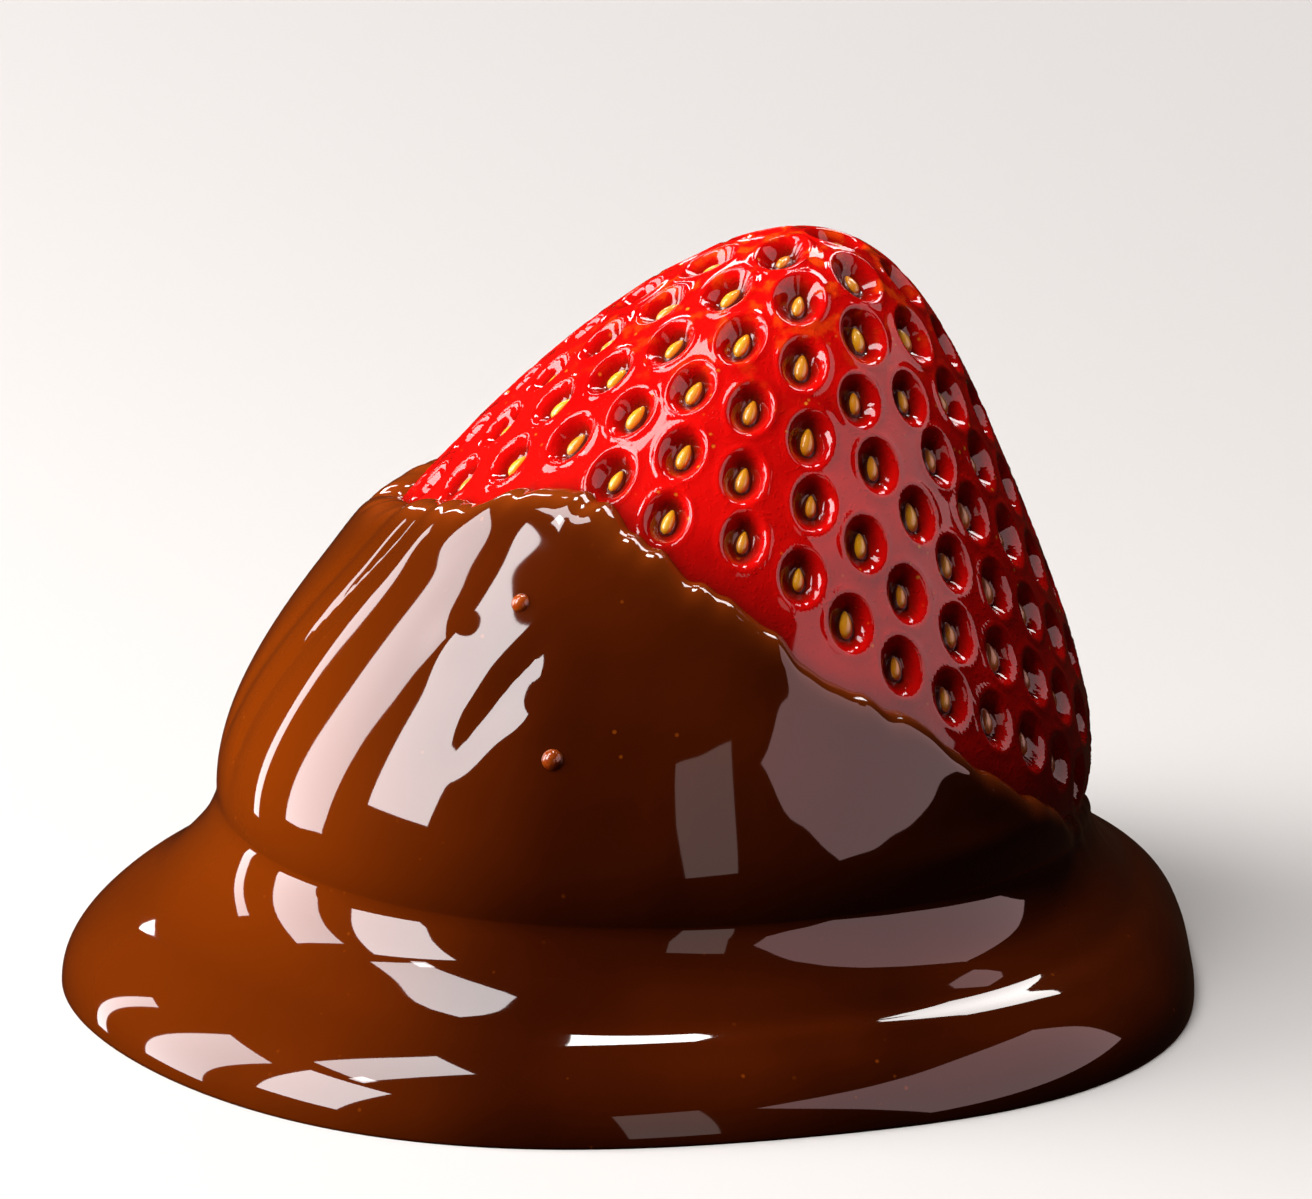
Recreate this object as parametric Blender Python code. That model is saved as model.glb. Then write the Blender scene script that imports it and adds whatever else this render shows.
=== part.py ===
"""Strawberry dipped in chocolate, standing on its stem end with the bare tip up.

Two solids, in metres, +Z up, with the origin on the floor under the middle of the stem end:

- strawberry, the whole berry, with the pits and seeds that show above the chocolate;
- chocolate_coat, the cup of chocolate round it, run down into a thick skirt that it stands on.

Every point of the berry's skin has a row, 0 at the tip and 1 at the stem end, and an angle round
the upright axis, counted from +X. -Y is the front, so the front is at -90 degrees.
"""

import math

import bmesh
import bpy
import numpy as np
from mathutils import Matrix, Vector
from mathutils.geometry import delaunay_2d_cdt

MM = 0.001
GOLDEN_ANGLE = math.pi * (3 - math.sqrt(5))

# The berry: a broad cone with a round tip that leans to the right and square shoulders below.
BERRY_LENGTH = 37.5 * MM
TIP_ROUNDING = 7.25 * MM
CONE_SLOPE = 0.413
SHOULDER_POWER = 6.6
STEM_END_RIGHT = -0.56 * MM
TIP_LEAN_RIGHT = 7.17 * MM
TIP_LEAN_FORWARD = 0.6 * MM
LEAN_POWER = 2.1
STEM_END_HEIGHT = 1.6 * MM
# Waves round the berry that keep it from being truly round: count, share of the radius, angle.
BERRY_LUMPS = ((2, 0.010, 40), (3, 0.008, 115), (5, 0.004, 20))

# Seeds, and the pits that they lie in.
SEED_GAP_AT_TIP = 3.25 * MM
SEED_GAP_AT_SHOULDER = 3.8 * MM
EVENING_ROUNDS = 150
EVENING_REACH = 1.3
EVENING_STEP = 0.45
SEED_LENGTH = 1.6 * MM
SEED_WIDTH = 0.9 * MM
SEED_HEIGHT = 0.8 * MM
SEED_ABOVE_PIT = 0.22 * MM
SEED_SIDES = 5
SEED_RINGS = 3
PIT_SHARE = 0.43
PIT_STRETCH = 1.13
PIT_DEPTH_SHARE = 0.48
PIT_CORNERS = 9
SEED_TO_COAT = 1.9 * MM
PLAIN_SKIN_GAP = 4.1 * MM
PLAIN_SKIN_KEEP_OFF = 0.42
STEM_END_CORNERS = 24
STEM_END_ROW = 0.93

# The coat's upper edge: how far below the tip it lies, as a mean and waves round the berry.
EDGE_DEPTH = 19.2 * MM
EDGE_WAVES = (
    (1, 7.9 * MM, 16.3), (2, 2.84 * MM, -10.2), (3, 0.5 * MM, -21), (4, 0.6 * MM, 0.7),
    (9, 0.18 * MM, 10), (14, 0.2 * MM, 9),
)
CREST_ANGLE = -119
CREST_WIDTH = 7
CREST_RISE = 0.8 * MM

# The coat's wall.
CLEARANCE = 0.3 * MM
CLEARANCE_BELOW = 0.5 * MM
COAT_THICKNESS = 0.68 * MM
COAT_WAVES = ((1, 0.26 * MM, -165), (2, 0.1 * MM, -160), (3, 0.06 * MM, 80))
COAT_SAG = 0.5 * MM
LIP_LENGTH = 1.5 * MM
LIP_BEAD = 0.1 * MM
# Grooves between the runs of chocolate on the left of the front. Each one has its angle at the top,
# how deep it is, its width in degrees, and how far below the tip it starts and ends.
GROOVES = (
    (-164, 0.16 * MM, 2.2, 11 * MM, 28 * MM),
    (-154, 0.18 * MM, 2.6, 10 * MM, 29 * MM),
    (-112, 0.16 * MM, 3.0, 16 * MM, 24 * MM),
)
GROOVE_POWER = 1.6
GROOVE_FADE = 3 * MM
GROOVE_DRIFT = -11
GROOVE_DRIFT_START = 12 * MM
GROOVE_DRIFT_LENGTH = 15 * MM

# The skirt at the foot, where the chocolate has run together.
SKIRT_TOP = 8.8 * MM
SKIRT_TOP_WAVES = ((1, 0.9 * MM, -130), (2, 0.3 * MM, 150))
SKIRT_RIM = 3.4 * MM
SKIRT_WIDTH = 6.8 * MM
SKIRT_WAVES = ((1, 0.9 * MM, -122), (2, 0.6 * MM, 55), (3, 0.7 * MM, -40), (5, 0.5 * MM, -112))
SKIRT_SLUMP = 1.6
SKIRT_FILLET_SHARE = 0.38
SKIRT_FILLET = 0.9 * MM
SKIRT_ROUND_FROM = 0.56
SKIRT_ROLL = 0.15 * MM
SKIRT_ROLL_REACH = 0.45

# How finely the coat is divided.
COAT_COLUMNS = 66
COLUMN_CROWDING = 1.2
CROWDING_MIDDLE = -141
CROWDING_SPREAD = 42
SIDE_ROWS = 12
SKIRT_ROWS = 8
INNER_ROWS = 8
INNER_LAST_ROW = 0.93


def waves(angle, table):
    """Sum of the waves in a table of (count round the berry, height, angle of a crest in degrees)."""
    return sum(height * np.cos(count * (angle - math.radians(at))) for count, height, at in table)


def row_at(depth):
    """Row of the skin that lies this far below the tip."""
    return 2 / math.pi * np.arcsin(np.sqrt(np.clip(depth / BERRY_LENGTH, 0, 1)))


def depth_at(row):
    """How far below the tip this row of the skin lies."""
    return BERRY_LENGTH * np.sin(math.pi * row / 2) ** 2


def spot(row, angle):
    """A place on the skin laid flat as a disc, with the tip in the middle and the stem end at 1."""
    return np.stack(np.broadcast_arrays(row * np.cos(angle), row * np.sin(angle)), axis=-1)


def row_and_angle(spots):
    """Row and angle of places on the flat skin."""
    return np.hypot(spots[..., 0], spots[..., 1]), np.arctan2(spots[..., 1], spots[..., 0])


def skin(spots):
    """Points of the berry's smooth skin, before any pit."""
    row, angle = row_and_angle(spots)
    share = depth_at(row) / BERRY_LENGTH
    depth = BERRY_LENGTH * share
    shoulder = np.sqrt(np.maximum(1 - share**SHOULDER_POWER, 0))
    radius = np.sqrt(2 * TIP_ROUNDING * depth + (CONE_SLOPE * depth) ** 2) * shoulder
    radius = radius * (1 + waves(angle, BERRY_LUMPS) * np.sin(math.pi * row))
    lean = (1 - share) ** LEAN_POWER
    x = STEM_END_RIGHT + TIP_LEAN_RIGHT * lean + radius * np.cos(angle)
    y = -TIP_LEAN_FORWARD * lean + radius * np.sin(angle)
    z = STEM_END_HEIGHT + BERRY_LENGTH - depth
    return np.stack(np.broadcast_arrays(x, y, z), axis=-1)


def skin_slope(spots, direction):
    """How the skin runs on from each spot in a direction of the flat skin."""
    step = 1e-4 * np.asarray(direction)
    return (skin(spots + step) - skin(spots - step)) / 2e-4


def unit(vectors):
    """The same vectors at length 1."""
    return vectors / np.linalg.norm(vectors, axis=-1, keepdims=True)


def outwards(spots):
    """Unit vectors that point out of the skin."""
    return unit(np.cross(skin_slope(spots, (1, 0)), skin_slope(spots, (0, 1))))


def skin_axes(middle):
    """Unit vectors at one spot: towards the stem end, round the berry, and outwards."""
    down = unit(skin_slope(middle, unit(middle)))
    out = outwards(middle)
    return down, np.cross(out, down), out


def skin_offset(spots, distance):
    """Points this far outside the skin."""
    return skin(spots) + outwards(spots) * np.asarray(distance)[..., None]


def edge_depth(angle):
    """How far below the tip the coat's upper edge lies at this angle."""
    degrees_off = (np.degrees(angle) - CREST_ANGLE + 180) % 360 - 180
    crest = CREST_RISE * np.exp(-((degrees_off / CREST_WIDTH) ** 2))
    return EDGE_DEPTH + waves(angle, EDGE_WAVES) - crest


def gap_at(row, gap_at_tip, gap_at_shoulder):
    """The gap between neighbours at this row."""
    share = np.minimum(depth_at(row) / (0.5 * BERRY_LENGTH), 1)
    return gap_at_tip + (gap_at_shoulder - gap_at_tip) * share


def spiral_spots(gap_at_tip, gap_at_shoulder, last):
    """Spots that are spaced like seeds, in a spiral from the tip towards the stem end.

    Each one takes up one cell of a triangular net whose gap widens down the berry.
    """
    rows = np.linspace(0, last, 600)
    left, right = skin(spot(rows, math.pi)), skin(spot(rows, 0.0))
    radius = np.linalg.norm(right - left, axis=-1) / 2
    length = np.linalg.norm(np.diff(right + left, axis=0), axis=-1) / 2
    length = np.hypot(length, np.diff(radius))
    cell = math.sqrt(3) / 2 * gap_at(rows, gap_at_tip, gap_at_shoulder) ** 2
    per_row = math.pi * (radius[1:] + radius[:-1]) * length / cell[1:]
    count = np.concatenate([[0], np.cumsum(per_row)])
    order = np.arange(int(count[-1]))
    return spot(np.interp(order + 0.5, count, rows), order * GOLDEN_ANGLE)


def onto_skin(spots, moves):
    """Moves in space, turned into moves on the flat skin."""
    slopes = np.stack([skin_slope(spots, (1, 0)), skin_slope(spots, (0, 1))], axis=-1)
    return (np.linalg.pinv(slopes) @ moves[..., None])[..., 0]


def seed_spots():
    """Spots of all the seeds: a spiral whose crowded ones have pushed each other apart."""
    spots = spiral_spots(SEED_GAP_AT_TIP, SEED_GAP_AT_SHOULDER, STEM_END_ROW)
    for step in np.linspace(EVENING_STEP, 0, EVENING_ROUNDS):
        points = skin(spots)
        gap = gap_at(row_and_angle(spots)[0], SEED_GAP_AT_TIP, SEED_GAP_AT_SHOULDER)[:, None]
        apart = points[:, None] - points[None]
        distance = np.linalg.norm(apart, axis=-1)
        np.fill_diagonal(distance, np.inf)
        push = np.maximum(1 - distance / (EVENING_REACH * gap), 0) / distance
        spots = spots + onto_skin(spots, step * gap * (apart * push[..., None]).sum(axis=1))
        row, angle = row_and_angle(spots)
        spots = spot(np.minimum(row, STEM_END_ROW), angle)
    return spots


def nearest_gap(spots):
    """Distance from each spot's point on the skin to its nearest neighbour."""
    points = skin(spots)
    gaps = np.linalg.norm(points[:, None] - points[None], axis=-1)
    np.fill_diagonal(gaps, np.inf)
    return gaps.min(axis=1)


def showing_seeds():
    """Spots of the seeds that lie clear above the coat, and the radii of their pits."""
    spots = seed_spots()
    radii = PIT_SHARE * nearest_gap(spots)
    row, angle = row_and_angle(spots)
    showing = depth_at(row) < edge_depth(angle) - SEED_TO_COAT
    return spots[showing], radii[showing]


def ring_round(middle, radius, corners):
    """Spots of an oval of points on the skin round one spot, longer towards the tip."""
    slopes = np.stack([skin_slope(middle, (1, 0)), skin_slope(middle, (0, 1))], axis=-1)
    down, around, _ = skin_axes(middle)
    turn = np.arange(corners) * 2 * math.pi / corners
    along = radius * PIT_STRETCH * np.cos(turn)
    across = radius / PIT_STRETCH * np.sin(turn)
    oval = np.outer(down, along) + np.outer(around, across)
    return middle + (np.linalg.pinv(slopes) @ oval).T


def berry_corners():
    """Spots of the berry's corners, their depths under the skin, and the edges that they need."""
    spots, depths, edges = [], [], []
    for middle, radius in zip(*showing_seeds()):
        first = len(spots)
        spots += [middle, *ring_round(middle, radius, PIT_CORNERS)]
        depths += [PIT_DEPTH_SHARE * radius] + [0] * PIT_CORNERS
        for corner in range(PIT_CORNERS):
            following = (corner + 1) % PIT_CORNERS
            edges.append((first, first + 1 + corner))
            edges.append((first + 1 + corner, first + 1 + following))
    pits = skin(np.array(spots))
    for place in spiral_spots(PLAIN_SKIN_GAP, PLAIN_SKIN_GAP, STEM_END_ROW - 0.05):
        nearest = np.linalg.norm(pits - skin(place), axis=-1).min()
        if nearest > PLAIN_SKIN_GAP * PLAIN_SKIN_KEEP_OFF:
            spots.append(place)
            depths.append(0)
    turn = np.arange(STEM_END_CORNERS) * 2 * math.pi / STEM_END_CORNERS
    spots += [*spot(STEM_END_ROW, turn)]
    depths += [0] * STEM_END_CORNERS
    return np.array(spots), np.array(depths), edges


def new_object(name, mesh):
    """Adds an object with this mesh to the scene."""
    thing = bpy.data.objects.new(name, mesh)
    bpy.context.scene.collection.objects.link(thing)
    return thing


def make_berry_body(name):
    """The berry with its pits, as one closed mesh."""
    spots, depths, edges = berry_corners()
    _, _, faces, sources, _, _ = delaunay_2d_cdt([Vector(place) for place in spots], edges, [], 0, 1e-7)
    mesh = bmesh.new()
    corners = [mesh.verts.new(place) for place in skin_offset(spots, -depths)]
    for face in faces:
        mesh.faces.new([corners[sources[corner][0]] for corner in face])
    stem_end = mesh.verts.new(skin(spot(1.0, 0.0)))
    rim = corners[-STEM_END_CORNERS:]
    for corner in range(STEM_END_CORNERS):
        mesh.faces.new([rim[corner], rim[corner - 1], stem_end])
    bmesh.ops.recalc_face_normals(mesh, faces=mesh.faces)
    data = bpy.data.meshes.new(name)
    mesh.to_mesh(data)
    mesh.free()
    return new_object(name, data)


def make_seed(number, middle, pit_radius):
    """A seed lying in its pit, pointed towards the berry's tip."""
    down, around, out = skin_axes(middle)
    mesh = bmesh.new()
    bmesh.ops.create_uvsphere(mesh, u_segments=SEED_SIDES, v_segments=SEED_RINGS, radius=1)
    for vertex in mesh.verts:
        along = vertex.co.z
        taper = 1 - 0.35 * max(along, 0)
        vertex.co = Vector((
            vertex.co.x * SEED_WIDTH / 2 * taper,
            vertex.co.y * SEED_HEIGHT / 2 * taper,
            along * SEED_LENGTH / 2,
        ))
    axes = Matrix((around, out, -down)).transposed().to_4x4()
    sink = PIT_DEPTH_SHARE * pit_radius - SEED_ABOVE_PIT
    mesh.transform(Matrix.Translation(skin(middle) - out * sink) @ axes)
    bmesh.ops.recalc_face_normals(mesh, faces=mesh.faces)
    data = bpy.data.meshes.new(f"seed_{number}")
    mesh.to_mesh(data)
    mesh.free()
    return bpy.data.objects.new(f"seed_{number}", data)


def fuse_seeds(berry):
    """Joins every showing seed to the berry, as one solid."""
    seeds = bpy.data.collections.new("seeds")
    bpy.context.scene.collection.children.link(seeds)
    for number, (middle, pit_radius) in enumerate(zip(*showing_seeds())):
        seeds.objects.link(make_seed(number, middle, pit_radius))
    union = berry.modifiers.new("seeds", "BOOLEAN")
    union.operation = "UNION"
    union.operand_type = "COLLECTION"
    union.collection = seeds
    union.solver = "EXACT"
    bpy.context.view_layer.update()
    evaluated = berry.evaluated_get(bpy.context.evaluated_depsgraph_get())
    fused = bpy.data.meshes.new_from_object(evaluated)
    berry.modifiers.clear()
    berry.data = fused
    for seed in list(seeds.objects):
        bpy.data.objects.remove(seed)
    bpy.data.collections.remove(seeds)


def grooves(depth, angle):
    """Depth of the grooves between the runs of chocolate."""
    share = np.clip((depth - GROOVE_DRIFT_START) / GROOVE_DRIFT_LENGTH, 0, 1)
    drift = GROOVE_DRIFT * share**2 * (3 - 2 * share)
    total = np.zeros(np.shape(drift))
    for at, deep, width, first, last in GROOVES:
        degrees_off = (np.degrees(angle) - at - drift + 180) % 360 - 180
        fade = np.clip((depth - first) / GROOVE_FADE, 0, 1) * np.clip((last - depth) / GROOVE_FADE, 0, 1)
        total = total + deep * fade * np.exp(-np.abs(degrees_off / width) ** GROOVE_POWER)
    return total


def wall_thickness(row, angle):
    """Thickness of the coat, from nothing at its edge, over a round lip, to its full wall."""
    depth = depth_at(row)
    below_edge = np.maximum(depth - edge_depth(angle), 0)
    wall = COAT_THICKNESS + waves(angle, COAT_WAVES)
    lip = np.sqrt(1 - (1 - np.minimum(below_edge / LIP_LENGTH, 1)) ** 2)
    bead = LIP_BEAD * np.exp(-(((below_edge - LIP_LENGTH) / LIP_LENGTH) ** 2))
    sag = COAT_SAG * np.clip(below_edge / (16 * MM), 0, 1)
    return lip * (wall + bead + sag - grooves(depth, angle))


def side_rows():
    """Rings of the coat's outside from the lip, which is the first, down to the skirt."""
    angle = column_angles()
    top = row_at(edge_depth(angle))
    skirt_top = SKIRT_TOP + waves(angle, SKIRT_TOP_WAVES)
    foot = row_at(STEM_END_HEIGHT + BERRY_LENGTH - skirt_top)
    for share in np.linspace(0, 1, SIDE_ROWS + 1) ** 1.35:
        row = top + (foot - top) * share
        yield skin_offset(spot(row, angle), CLEARANCE + wall_thickness(row, angle))


def skirt_rows(crease):
    """Rings of the skirt, from beside the wall's last ring out and down to the floor."""
    angle = column_angles()
    width = SKIRT_WIDTH + waves(angle, SKIRT_WAVES)
    radius = np.hypot(crease[:, 0], crease[:, 1])
    for share in np.linspace(0, 1, SKIRT_ROWS + 1)[1:]:
        out = math.sin(share * math.pi / 2)
        fillet = SKIRT_FILLET_SHARE * np.exp(-width * out / SKIRT_FILLET)
        slump = (crease[:, 2] - SKIRT_RIM) * (fillet + (1 - SKIRT_FILLET_SHARE) * (1 - out) ** SKIRT_SLUMP)
        round_off = max(out - SKIRT_ROUND_FROM, 0) / (1 - SKIRT_ROUND_FROM)
        height = (SKIRT_RIM + slump) * math.sqrt(1 - round_off**2)
        roll = SKIRT_ROLL * math.sin(math.pi * min(out / SKIRT_ROLL_REACH, 1)) ** 2
        reach = radius + width * out
        yield np.stack([reach * np.cos(angle), reach * np.sin(angle), height + roll], axis=-1)


def inner_rows():
    """Rings of the coat's inside, from beside the stem end up to just below the lip."""
    angle = column_angles()
    top = row_at(edge_depth(angle))
    for share in np.linspace(1, 0, INNER_ROWS + 1)[:-1]:
        row = top + (INNER_LAST_ROW - top) * share
        clearance = CLEARANCE + (CLEARANCE_BELOW - CLEARANCE) * min(share * INNER_ROWS / 2, 1)
        yield skin_offset(spot(row, angle), clearance)


def column_angles():
    """Angles of the coat's columns, which are closer together where the grooves are."""
    degrees_off = np.linspace(-180, 180, 721)
    crowding = 1 + COLUMN_CROWDING * np.exp(-((degrees_off / CROWDING_SPREAD) ** 2))
    count = np.concatenate([[0], np.cumsum((crowding[1:] + crowding[:-1]) / 2)])
    wanted = np.arange(COAT_COLUMNS) * count[-1] / COAT_COLUMNS
    return np.radians(CROWDING_MIDDLE + np.interp(wanted, count, degrees_off))


def make_coat(name):
    """The coat: one skin of rings, from the inside's middle over the lip to the underside's middle."""
    outside = list(side_rows())
    rings = [*inner_rows(), *outside, *skirt_rows(outside[-1])]
    inside_middle = np.array([0, 0, STEM_END_HEIGHT - CLEARANCE_BELOW])
    mesh = bmesh.new()
    loops = [[mesh.verts.new(point) for point in ring] for ring in rings]
    for upper, lower in zip(loops, loops[1:]):
        for column in range(COAT_COLUMNS):
            mesh.faces.new([upper[column - 1], upper[column], lower[column], lower[column - 1]])
    for loop, middle in ((loops[0], inside_middle), (loops[-1], np.zeros(3))):
        centre = mesh.verts.new(middle)
        for column in range(COAT_COLUMNS):
            mesh.faces.new([loop[column - 1], loop[column], centre])
    bmesh.ops.recalc_face_normals(mesh, faces=mesh.faces)
    data = bpy.data.meshes.new(name)
    mesh.to_mesh(data)
    mesh.free()
    return new_object(name, data)


def paint(thing, colour, roughness, subsurface):
    """Gives an object a plain material."""
    material = bpy.data.materials.new(thing.name)
    material.use_nodes = True
    shader = material.node_tree.nodes["Principled BSDF"]
    shader.inputs["Base Color"].default_value = (*colour, 1)
    shader.inputs["Roughness"].default_value = roughness
    shader.inputs["Metallic"].default_value = 0
    shader.inputs["Subsurface Weight"].default_value = subsurface
    thing.data.materials.clear()
    thing.data.materials.append(material)


def smooth(thing, sharp_degrees):
    """Shades an object smooth, apart from edges sharper than this."""
    thing.data.shade_smooth()
    thing.data.set_sharp_from_angle(angle=math.radians(sharp_degrees))


def main():
    """Clears the scene and builds the strawberry and its coat."""
    for thing in list(bpy.data.objects):
        bpy.data.objects.remove(thing)
    berry = make_berry_body("strawberry")
    fuse_seeds(berry)
    paint(berry, (0.62, 0.012, 0.01), 0.25, 0.2)
    smooth(berry, 60)
    coat = make_coat("chocolate_coat")
    paint(coat, (0.075, 0.02, 0.006), 0.15, 0.0)
    smooth(coat, 60)


main()
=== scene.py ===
"""A ripe strawberry half dipped in dark chocolate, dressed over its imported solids.

The berry's fine skin and the coat's fine surface are worked out from the same named sizes as the
solids, in metres, +Z up, with the front towards -Y. Every point of the skin has a row, 0 at the tip
and 1 at the stem end, and an angle round the upright axis, counted from +X.
"""

from __future__ import annotations

import logging
import math
from dataclasses import dataclass, field
from enum import Enum
from typing import Any

import bpy
import numpy as np
from mathutils import Matrix, Vector

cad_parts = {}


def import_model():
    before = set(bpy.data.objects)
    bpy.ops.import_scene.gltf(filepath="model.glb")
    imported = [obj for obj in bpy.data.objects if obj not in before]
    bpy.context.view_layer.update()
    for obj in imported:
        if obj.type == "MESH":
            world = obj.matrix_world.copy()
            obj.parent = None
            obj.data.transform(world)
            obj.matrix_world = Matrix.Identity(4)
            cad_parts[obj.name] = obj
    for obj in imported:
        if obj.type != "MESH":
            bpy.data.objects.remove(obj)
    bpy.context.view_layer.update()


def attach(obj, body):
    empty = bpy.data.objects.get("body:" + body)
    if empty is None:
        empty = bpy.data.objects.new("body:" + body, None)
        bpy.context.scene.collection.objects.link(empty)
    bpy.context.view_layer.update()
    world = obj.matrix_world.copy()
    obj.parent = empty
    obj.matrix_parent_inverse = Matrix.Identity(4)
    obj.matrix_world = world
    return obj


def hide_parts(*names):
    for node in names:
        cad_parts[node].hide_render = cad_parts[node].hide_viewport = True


MM = 0.001
GOLDEN_ANGLE = math.pi * (3 - math.sqrt(5))
LOG = logging.getLogger("dipped_strawberry")
Colour = tuple[float, float, float]
Waves = tuple[tuple[int, float, float], ...]
PIT_DEPTH_SHARE = 0.52
SMALL_STEP = 1e-4
PANE_WHITE: Colour = (0.97, 0.93, 0.93)
LAMP_WHITE: Colour = (1.0, 0.98, 0.96)
BLACK: Colour = (0.0, 0.0, 0.0)


class Sum(Enum):
    """The sums that a Math node can do here."""

    ADD = "ADD"
    SUBTRACT = "SUBTRACT"
    MULTIPLY = "MULTIPLY"
    DIVIDE = "DIVIDE"
    POWER = "POWER"
    MAXIMUM = "MAXIMUM"
    EXPONENT = "EXPONENT"


class Kind(Enum):
    """What a node tree's named input holds."""

    GEOMETRY = "NodeSocketGeometry"
    NUMBER = "NodeSocketFloat"
    WHOLE_NUMBER = "NodeSocketInt"
    OBJECT = "NodeSocketObject"
    MATERIAL = "NodeSocketMaterial"

    @classmethod
    def of(cls, value: Any) -> Kind:
        """The kind of input that takes this value."""
        kinds = {float: cls.NUMBER, int: cls.WHOLE_NUMBER, bpy.types.Object: cls.OBJECT}
        return kinds.get(type(value), cls.MATERIAL)


class Signal:
    """A node's output that can take part in Python sums."""

    def __init__(self, tree: Tree, socket: bpy.types.NodeSocket) -> None:
        """Wraps an output socket of a node in this tree."""
        self.tree = tree
        self.socket = socket

    def sum(self, operation: Sum, *values: Any) -> Signal:
        """The result of a Math node with these inputs."""
        inputs = dict(enumerate(values))
        return self.tree.add("ShaderNodeMath", {"operation": operation.value}, inputs)

    def __add__(self, other: Any) -> Signal:
        """This plus the other."""
        return self.sum(Sum.ADD, self, other)

    def __radd__(self, other: Any) -> Signal:
        """The other plus this."""
        return self.sum(Sum.ADD, other, self)

    def __sub__(self, other: Any) -> Signal:
        """This less the other."""
        return self.sum(Sum.SUBTRACT, self, other)

    def __rsub__(self, other: Any) -> Signal:
        """The other less this."""
        return self.sum(Sum.SUBTRACT, other, self)

    def __mul__(self, other: Any) -> Signal:
        """This times the other."""
        return self.sum(Sum.MULTIPLY, self, other)

    def __rmul__(self, other: Any) -> Signal:
        """The other times this."""
        return self.sum(Sum.MULTIPLY, other, self)

    def __truediv__(self, other: Any) -> Signal:
        """This divided by the other."""
        return self.sum(Sum.DIVIDE, self, other)

    def __pow__(self, other: Any) -> Signal:
        """This to the power of the other."""
        return self.sum(Sum.POWER, self, other)

    def __neg__(self) -> Signal:
        """This with its sign turned."""
        return self.sum(Sum.MULTIPLY, self, -1.0)

    def at_least(self, low: float) -> Signal:
        """This, or the given number where that is larger."""
        return self.sum(Sum.MAXIMUM, self, low)

    def exponent(self) -> Signal:
        """The number e to the power of this."""
        return self.sum(Sum.EXPONENT, self)

    def step(self, start: float, end: float) -> Signal:
        """A smooth step from 0 at the start to 1 at the end."""
        settings = {"interpolation_type": "SMOOTHSTEP"}
        return self.tree.add("ShaderNodeMapRange", settings, {"Value": self, 1: start, 2: end})


class Tree:
    """Adds nodes to a shader tree or a geometry tree and links them."""

    def __init__(self, tree: bpy.types.NodeTree) -> None:
        """Wraps a node tree."""
        self.tree = tree

    def add(
        self,
        kind: str,
        settings: dict[str, Any] | None = None,
        inputs: dict[str | int, Any] | None = None,
        output: str | int = 0,
    ) -> Signal:
        """Adds one node.

        Args:
            kind: the node's type.
            settings: its properties, which are set first.
            inputs: values, signals or lists of signals for its sockets, by name or number.
            output: which of its outputs is wanted.

        Returns:
            That output.
        """
        node = self.tree.nodes.new(kind)
        for name, value in (settings or {}).items():
            setattr(node, name, value)
        for name, value in (inputs or {}).items():
            if isinstance(value, (Signal, list)):
                for signal in value if isinstance(value, list) else [value]:
                    self.tree.links.new(signal.socket, node.inputs[name])
            else:
                node.inputs[name].default_value = value
        return Signal(self, node.outputs[output])

    def lead(self, last: Signal, kind: str, name: str) -> None:
        """Leads the last signal to the named socket of an output node of this type."""
        self.tree.links.new(last.socket, self.tree.nodes.new(kind).inputs[name])

    def mix(self, share: Signal | float, first: Any, second: Any) -> Signal:
        """Mixes two colours.

        Args:
            share: how much of the second colour there is, from 0 to 1.
            first: a colour or signal.
            second: a colour or signal.

        Returns:
            The mixed colour.
        """
        first, second = (c if isinstance(c, Signal) else (*c, 1.0) for c in (first, second))
        settings = {"data_type": "RGBA", "clamp_factor": True}
        return self.add("ShaderNodeMix", settings, {0: share, 6: first, 7: second}, 2)

    def vector_sum(self, operation: str, *values: Any, output: str = "Vector") -> Signal:
        """The result of a Vector Math node, from its output "Value" where it is a number."""
        inputs = dict(enumerate(values))
        return self.add("ShaderNodeVectorMath", {"operation": operation}, inputs, output)

    def scaled(self, vector: Signal, length: Signal) -> Signal:
        """A vector times a number."""
        inputs = {"Vector": vector, "Scale": length}
        return self.add("ShaderNodeVectorMath", {"operation": "SCALE"}, inputs)

    def part(self, vector: Signal, axis: str) -> Signal:
        """One coordinate of a vector."""
        return self.add("ShaderNodeSeparateXYZ", None, {"Vector": vector}, axis)

    def attribute(self, name: str) -> Signal:
        """A number that the mesh carries at each of its points."""
        return self.add("ShaderNodeAttribute", {"attribute_name": name}, output="Fac")

    def place(self) -> Signal:
        """The shaded point's place on the object, in metres."""
        return self.add("ShaderNodeTexCoord", output="Object")

    def noise(self, size: float, detail: float = 2.0) -> Signal:
        """Noise around 0.5 in patches of this size, with this many finer layers."""
        inputs = {"Vector": self.place(), "Scale": 1 / size, "Detail": detail}
        return self.add("ShaderNodeTexNoise", None, inputs)

    def cells(self, size: float) -> Signal:
        """Distance to the nearest of many scattered points, as a share of their spacing."""
        return self.add("ShaderNodeTexVoronoi", None, {"Vector": self.place(), "Scale": 1 / size})

    def bump(self, height: Signal, depth: float, strength: float = 1.0) -> Signal:
        """The normal, bumped by a height whose 0 and 1 lie this depth apart."""
        inputs = {"Height": height, "Distance": depth, "Strength": strength}
        return self.add("ShaderNodeBump", None, inputs)


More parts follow.
